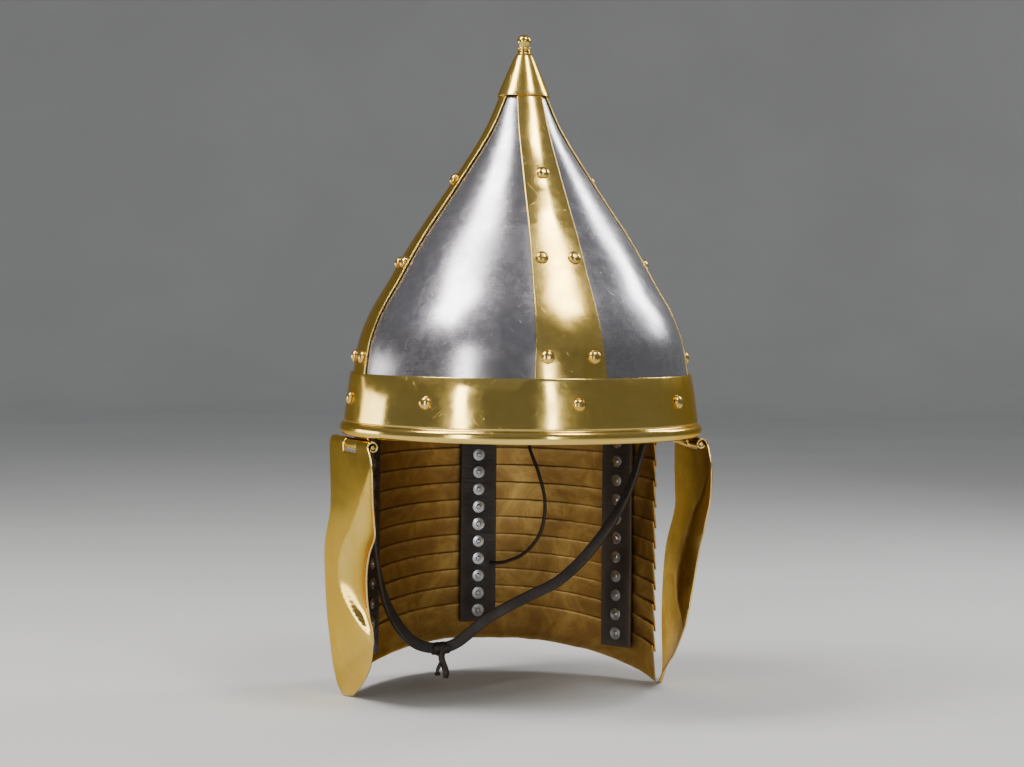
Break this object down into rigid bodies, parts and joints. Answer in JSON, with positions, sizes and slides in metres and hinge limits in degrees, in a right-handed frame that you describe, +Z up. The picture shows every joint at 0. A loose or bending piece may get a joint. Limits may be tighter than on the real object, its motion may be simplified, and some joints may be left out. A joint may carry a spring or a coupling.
{
  "type": "roman helmet",
  "caption": "Conical banded helmet of steel panels and brass bands, with hinged cheek pieces, a neck curtain of brass lames and a leather chin strap.",
  "frame": {"origin": "centre of the head opening, in the plane of the rim's lower edge", "axes": "+Z up the helmet's axis to the finial, -Y out of the front, +X to the wearer's left"},
  "size_m": [0.2334, 0.2274, 0.416],
  "materials": {
    "steel": "polished, with fine scratches and faint hammering",
    "brass": "polished, with light scratches and tarnish",
    "rivet_brass": "polished domes with a worn crown",
    "curtain_brass": "polished outside, darker and browner inside",
    "strap_leather": "dark oiled leather with round steel washers",
    "cord_leather": "dark oiled leather"
  },
  "bodies": {
    "helmet": {"panel_front_right": "steel", "panel_front_left": "steel", "panel_back_right": "steel", "panel_back_left": "steel", "band_front": "brass", "band_left": "brass", "band_back": "brass", "band_right": "brass", "brow_band": "brass", "finial_cap": "brass", "rivet_front_1": "rivet_brass", "rivet_front_2": "rivet_brass", "rivet_front_3": "rivet_brass", "rivet_front_4": "rivet_brass", "rivet_front_5": "rivet_brass", "rivet_left_1": "rivet_brass", "rivet_left_2": "rivet_brass", "rivet_left_3": "rivet_brass", "rivet_left_4": "rivet_brass", "rivet_left_5": "rivet_brass", "rivet_back_1": "rivet_brass", "rivet_back_2": "rivet_brass", "rivet_back_3": "rivet_brass", "rivet_back_4": "rivet_brass", "rivet_back_5": "rivet_brass", "rivet_right_1": "rivet_brass", "rivet_right_2": "rivet_brass", "rivet_right_3": "rivet_brass", "rivet_right_4": "rivet_brass", "rivet_right_5": "rivet_brass", "rivet_brow_1": "rivet_brass", "rivet_brow_2": "rivet_brass", "rivet_brow_3": "rivet_brass", "rivet_brow_4": "rivet_brass", "rivet_brow_5": "rivet_brass", "rivet_brow_6": "rivet_brass", "rivet_brow_7": "rivet_brass", "rivet_brow_8": "rivet_brass", "lame_01": "curtain_brass", "lame_02": "curtain_brass", "lame_03": "curtain_brass", "lame_04": "curtain_brass", "lame_05": "curtain_brass", "lame_06": "curtain_brass", "lame_07": "curtain_brass", "lame_08": "curtain_brass", "lame_09": "curtain_brass", "lame_10": "curtain_brass", "lame_11": "curtain_brass", "lame_12": "curtain_brass", "curtain_strap_back": "strap_leather", "curtain_strap_left": "strap_leather", "curtain_strap_right": "strap_leather", "hinge_left": "brass", "hinge_right": "brass", "chin_strap": "cord_leather", "thong": "cord_leather"},
    "cheek_left": {"cheek_left": "brass"},
    "cheek_right": {"cheek_right": "brass"}
  },
  "joints": [
    {"name": "cheek_left_swing", "type": "hinge", "parent": "helmet", "child": "cheek_left", "pos_m": [0.1083, -0.01043, -0.005], "axis": [-0.0958, -0.9954, 0], "range_deg": [-1, 90]},
    {"name": "cheek_right_swing", "type": "hinge", "parent": "helmet", "child": "cheek_right", "pos_m": [-0.1083, -0.01043, -0.005], "axis": [-0.0958, 0.9954, 0], "range_deg": [-1, 90]}
  ]
}
